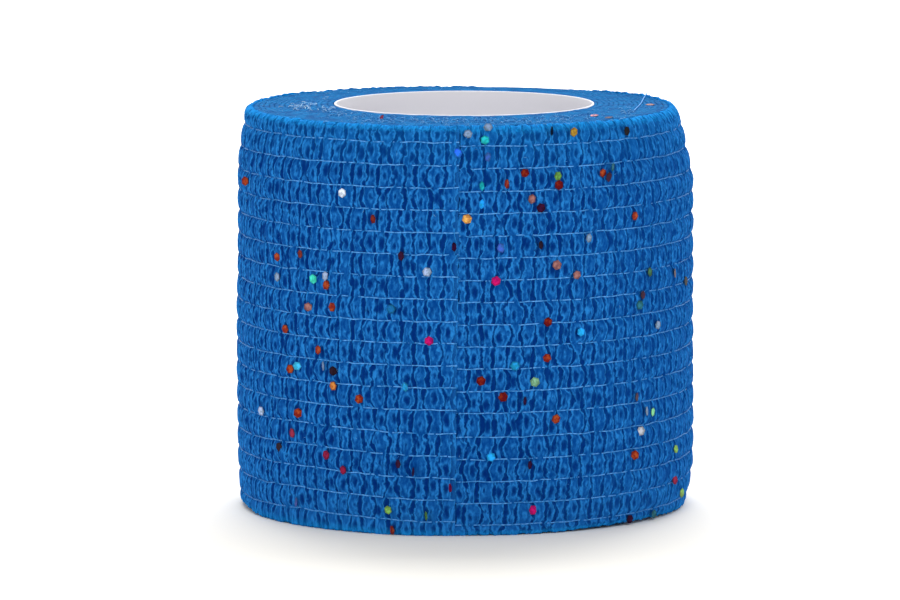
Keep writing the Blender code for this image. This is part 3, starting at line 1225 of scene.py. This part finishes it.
def own_value(tree, name, output):
    """A value that was stored on the mesh under that name."""
    node = tree.nodes.new("ShaderNodeAttribute")
    node.attribute_name = name
    return Wire(tree, node.outputs[output])


# The cloth's blues: the hollows' blue is painted shade, the ridges' blue is the streaks' pale tone and the
# painted ridge highlight, and the edges' blue is their fluff with painted light
HOLLOW_SHADE_BLUE = (0.0001, 0.020, 0.172)
CLOTH_BLUE = (0.0010, 0.056, 0.280)
RIDGE_BLUE = (0.0200, 0.222, 0.665)
FLUFF_BLUE = (0.0300, 0.280, 0.660)
EDGE_BLUE = (0.0100, 0.330, 0.840)
CUT_BLUE = (0.0010, 0.150, 0.405)
CUT_SHADE = (0.0005, 0.084, 0.280)
FIBRE_PALE = (0.5500, 0.780, 0.970)
FUZZ_BLUE = (0.0500, 0.400, 0.850)
RUBBER_SHADE = (0.035, 0.23, 0.60)
RUBBER_PALE = (0.12, 0.41, 0.90)
TUBE_SHADE = (0.785, 0.78, 0.825)
TUBE_WHITE = (0.825, 0.82, 0.86)
FLOOR_PALE = (0.96, 0.935, 0.872)

# How the noise patterns pale the cloth, vary the strength of the painted ridge highlights, and dull it and
# darken it with painted shade in dents
STREAKS_PALE = Fade(0.36, 0.66, 0.0, 0.30)
STREAKS_VARY_HIGHLIGHT = Fade(0.35, 0.65, 0.75, 1.25)
CLOUDS_VARY_HIGHLIGHT = Fade(0.34, 0.62, 0.75, 1.05)
DINTS_DULL = Fade(0.50, 0.64, 1.0, 0.60)
DINTS_DARK = Fade(0.58, 0.74, 0.0, 0.5)
FLUFF_SHOWS = Fade(0.58, 0.76)
FLUFF_AT_TOP = Fade(0.35, 0.70, 0.2, 0.8)
FLUFF_AT_FOOT = Fade(0.30, 0.65, 0.4, 1.0)

# How dark the painted shade in the hollows is, and how far the strip's edges and its calm side change the
# tones; the top and foot rows get painted light
HOLLOW_DARK = 0.84
HOLLOW_PALED_AT_TOP = 0.45
HOLLOW_PALED_BY_CALM = 0.38
RIM_DULLED_BY_CALM = 0.4
CALM_PALE = 0.03
TOP_ROWS_PALE = 0.05
TOP_ROWS_EDGE = 0.08
FOOT_ROWS_PALE = 0.22
END_LENGTH = OUTER_END_TURN * TURN_LENGTH
END_PALES = Fade(END_LENGTH - 0.9 * MM, END_LENGTH - 0.1 * MM, 0.0, 0.35)


def calm_side(tree, turn):
    """1 on the roll's right, where the painted hollow shade and ridge highlights are weaker, and 0 elsewhere.
    """
    return ramp(tree, turn, *CALM_STARTS) * ramp(tree, turn, *CALM_ENDS)


def pale_edges(tree, along, rise, fluff):
    """How far the strip's edges pale: the top one all round, with its fluff and painted light from above, and
    the foot in front, with painted light that lifts the floor's shade.
    """
    top = ramp(tree, rise, *TOP_EDGE) * ramp(tree, fluff, *FLUFF_AT_TOP)
    top = reckon(tree, "MAXIMUM", top, ramp(tree, rise, *TOP_ROWS) * TOP_ROWS_EDGE)
    front = reckon(tree, "COSINE", along / ROLL_RADIUS) * 0.5 + 0.5
    foot = ramp(tree, rise, *FOOT_EDGE) * front * ramp(tree, fluff, *FLUFF_AT_FOOT)
    return reckon(tree, "MAXIMUM", top, foot)


def puckered_cloth():
    """Nonwoven cloth: painted shade in the hollows and painted highlights along the ridges beside them."""
    surface, tree, shader = new_material("puckered cloth")
    along, rise = strip_place(tree)
    streaks = pattern(tree, along, rise / MM, STREAKS)
    dints = pattern(tree, along, rise / MM, DINTS)
    clouds = pattern(tree, along, rise / MM, CLOUDS)
    fluff = pattern(tree, along, rise / MM, FLUFF)
    calm = calm_side(tree, along / TURN_LENGTH)

    edge, nearer = hollow_edge(tree, along, rise)[:2]
    # rim is a painted highlight on the ridge beside each hollow, its strength varied at random by the clouds
    # and streaks
    rim = ramp(tree, edge, *RIM_STARTS) * ramp(tree, edge, *RIM_ENDS) * ramp(tree, nearer, *RIM_ROUND_PIT)
    ridge_highlight_strength = ramp(tree, clouds, *CLOUDS_VARY_HIGHLIGHT) * ramp(tree, streaks, *STREAKS_VARY_HIGHLIGHT)
    # light adds the streaks' random paleness to painted light: the ridge highlights, light from above on the
    # top rows and light on the foot rows that lifts the floor's shade
    light = ramp(tree, streaks, *STREAKS_PALE) + calm * CALM_PALE
    light = light + rim * ridge_highlight_strength * (1.0 - RIM_DULLED_BY_CALM * calm)
    light = light * ramp(tree, dints, *DINTS_DULL)
    light = light + ramp(tree, rise, *TOP_ROWS) * TOP_ROWS_PALE
    light = light + ramp(tree, rise, *FOOT_ROWS) * FOOT_ROWS_PALE
    # hollow and dark paint shade into the hollows and the dents
    hollow = reckon(tree, "MAXIMUM", ramp(tree, edge, *HOLLOW_SHADE), ramp(tree, dints, *DINTS_DARK))
    dark = HOLLOW_DARK - HOLLOW_PALED_AT_TOP * ramp(tree, rise, *TOP_EDGE) - HOLLOW_PALED_BY_CALM * calm

    color = blend_of(tree, light, CLOTH_BLUE, RIDGE_BLUE)
    color = blend_of(tree, ramp(tree, fluff, *FLUFF_SHOWS) * light, color, FLUFF_BLUE)
    color = blend_of(tree, hollow * dark, color, HOLLOW_SHADE_BLUE)
    # Painted light on the top edge and on the foot in front, with the edges' fluff
    color = blend_of(tree, pale_edges(tree, along, rise, fluff), color, EDGE_BLUE)
    color = blend_of(tree, ramp(tree, along, *END_PALES), color, RIDGE_BLUE)
    finish(tree, shader, color, roughness=0.8, specular_ior_level=0.01)
    finish(tree, shader, color, sheen_weight=0.10, sheen_roughness=0.4, sheen_tint=(*FUZZ_BLUE, 1.0))
    bump(tree, shader, rim * 0.6 - hollow + streaks * 0.6, 0.11 * MM)
    return surface


def cut_cloth():
    """The strip's cut edges, seen on the roll's two ends: paler, matted fibres."""
    surface, tree, shader = new_material("cut cloth edges")
    place = object_place(tree)
    mottle = noise(tree, place, 520.0, 4.0, 0.6)
    fine = noise(tree, place, 4200.0, 3.0, 0.6)
    color = blend_of(tree, ramp(tree, mottle, 0.35, 0.62), CUT_SHADE, CUT_BLUE)
    color = blend_of(tree, ramp(tree, fine, 0.58, 0.75) * 0.35, color, FLUFF_BLUE)
    finish(tree, shader, color, roughness=0.85, specular_ior_level=0.04)
    bump(tree, shader, mottle * 0.6 + fine * 0.4, 0.10 * MM)
    return surface


def pale_rubber():
    """Elastic thread: pale rubber, dulled where fibres lie over it."""
    surface, tree, shader = new_material("pale rubber thread")
    along, number = strip_place(tree)
    fibres = pattern(tree, along, number, FIBRES_OVER_THREADS)
    bare = blend_of(tree, ramp(tree, fibres, 0.35, 0.65), RUBBER_SHADE, RUBBER_PALE)
    turn = along / TURN_LENGTH
    sunk = ramp(tree, turn, *SUNK_STARTS) * ramp(tree, turn, *SUNK_ENDS) * 0.35
    hidden = reckon(tree, "MAXIMUM", thread_cover(tree, along, number), sunk)
    color = blend_of(tree, hidden, bare, CLOTH_BLUE)
    finish(tree, shader, color, roughness=0.5, specular_ior_level=0.08)
    return surface


def glitter_film():
    """Coloured foil film: each flake has its own tint, with painted highlights and shade across it and
    painted shade along its edge.
    """
    surface, tree, shader = new_material("glitter film")
    # rim paints shade along each flake's edge, and shimmer paints highlights and shade across the flake
    rim = ramp(tree, own_value(tree, "from middle", "Fac"), 0.60, 0.85)
    shimmer = noise(tree, object_place(tree), 2200.0, 2.0)
    shifted = tree.nodes.new("ShaderNodeHueSaturation")
    plug(tree, ramp(tree, shimmer, 0.35, 0.65, 0.49, 0.51), shifted.inputs["Hue"])
    plug(tree, ramp(tree, shimmer, 0.35, 0.65, 0.85, 1.65) * (1.0 - 0.35 * rim), shifted.inputs["Value"])
    plug(tree, own_value(tree, "tint", "Color"), shifted.inputs["Color"])
    color = Wire(tree, shifted.outputs["Color"])
    finish(tree, shader, color, metallic=0.1, roughness=0.35, specular_ior_level=0.05)
    return surface


def loose_fluff():
    """Stray fibre ends, paler than the cloth because light passes through them."""
    surface, tree, shader = new_material("stray fibre")
    cloud = noise(tree, object_place(tree), 700.0, 1.0)
    tint = own_value(tree, "tint", "Color")
    color = blend_of(tree, ramp(tree, cloud, 0.4, 0.7) * 0.5, tint, FLUFF_BLUE)
    finish(tree, shader, color, roughness=0.8, specular_ior_level=0.1)
    return surface


def white_plastic():
    """Moulded tube: smooth white plastic with a faint unevenness."""
    surface, tree, shader = new_material("white plastic")
    cloud = noise(tree, object_place(tree), 90.0, 3.0)
    finish(tree, shader, blend_of(tree, cloud, TUBE_SHADE, TUBE_WHITE), roughness=0.42)
    bump(tree, shader, cloud, 0.05 * MM, 0.5)
    return surface


# ----------------------------------------------------------------- the stage


def make_stage():
    """A pale floor, a white surround and soft light from above and in front."""
    mesh = bpy.data.meshes.new("floor")
    reach = 12.0
    corners = [(-reach, -reach, 0), (reach, -reach, 0), (reach, reach, 0), (-reach, reach, 0)]
    mesh.from_pydata(corners, [], [(0, 1, 2, 3)])
    floor = bpy.data.objects.new("floor", mesh)
    floor.location.z = -0.02 * MM
    bpy.context.scene.collection.objects.link(floor)
    surface, tree, shader = new_material("pale floor")
    finish(tree, shader, FLOOR_PALE, roughness=0.9, specular_ior_level=0.0)
    mesh.materials.append(surface)

    world = bpy.data.worlds.new("white surround")
    world.use_nodes = True
    world.node_tree.nodes["Background"].inputs["Color"].default_value = (1.0, 1.0, 1.0, 1.0)
    world.node_tree.nodes["Background"].inputs["Strength"].default_value = 0.74
    bpy.context.scene.world = world

    softbox("back softbox", place=(0.02, 0.60, 0.74), side=0.8, power=11.0)
    softbox("front softbox", place=(0.04, -0.60, 0.70), side=0.6, power=1.1)


def softbox(name, place, side, power):
    """A square soft light that is aimed at the roll's middle."""
    light = bpy.data.lights.new(name, "AREA")
    light.shape = "SQUARE"
    light.size = side
    light.energy = power
    lamp = bpy.data.objects.new(name, light)
    lamp.location = place
    aim = Vector((0.0, 0.0, STRIP_WIDTH / 2)) - Vector(place)
    lamp.rotation_euler = aim.to_track_quat("-Z", "Y").to_euler()
    bpy.context.scene.collection.objects.link(lamp)


def make_camera():
    """The camera that took the photograph."""
    lens = bpy.data.cameras.new("camera")
    lens.sensor_width = SENSOR_WIDTH_MM
    lens.lens = FOCAL_PIXELS * SENSOR_WIDTH_MM / PHOTO_WIDTH
    lens.clip_start = 0.05
    lens.clip_end = 50.0
    camera = bpy.data.objects.new("camera", lens)
    camera.location = CAMERA_PLACE
    camera.rotation_euler = (math.pi / 2 - CAMERA_PITCH, 0.0, 0.0)
    bpy.context.scene.collection.objects.link(camera)
    bpy.context.scene.camera = camera


def main():
    bpy.context.scene.view_settings.view_transform = "Standard"
    make_camera()
    make_stage()

    under = make_turns_under(cut_cloth())
    outer = make_outer_turn(puckered_cloth())
    rubber = pale_rubber()
    threads = make_threads(rubber)
    loose = make_loose_thread([under, outer], rubber)
    flakes = make_glitter([under, outer], glitter_film())
    fibres = make_fibres([under, outer], loose_fluff())
    tube = make_tube(white_plastic())
    slots = {
        "crinkled_cloth": (under, outer, fibres),
        "elastic_thread": (threads, loose),
        "glitter_film": (flakes,),
        "white_plastic": (tube,),
    }
    for slot, pieces in slots.items():
        for piece in pieces:
            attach(piece, "root")
    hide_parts("bandage")
    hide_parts("bandage")
    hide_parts("tube")


main()
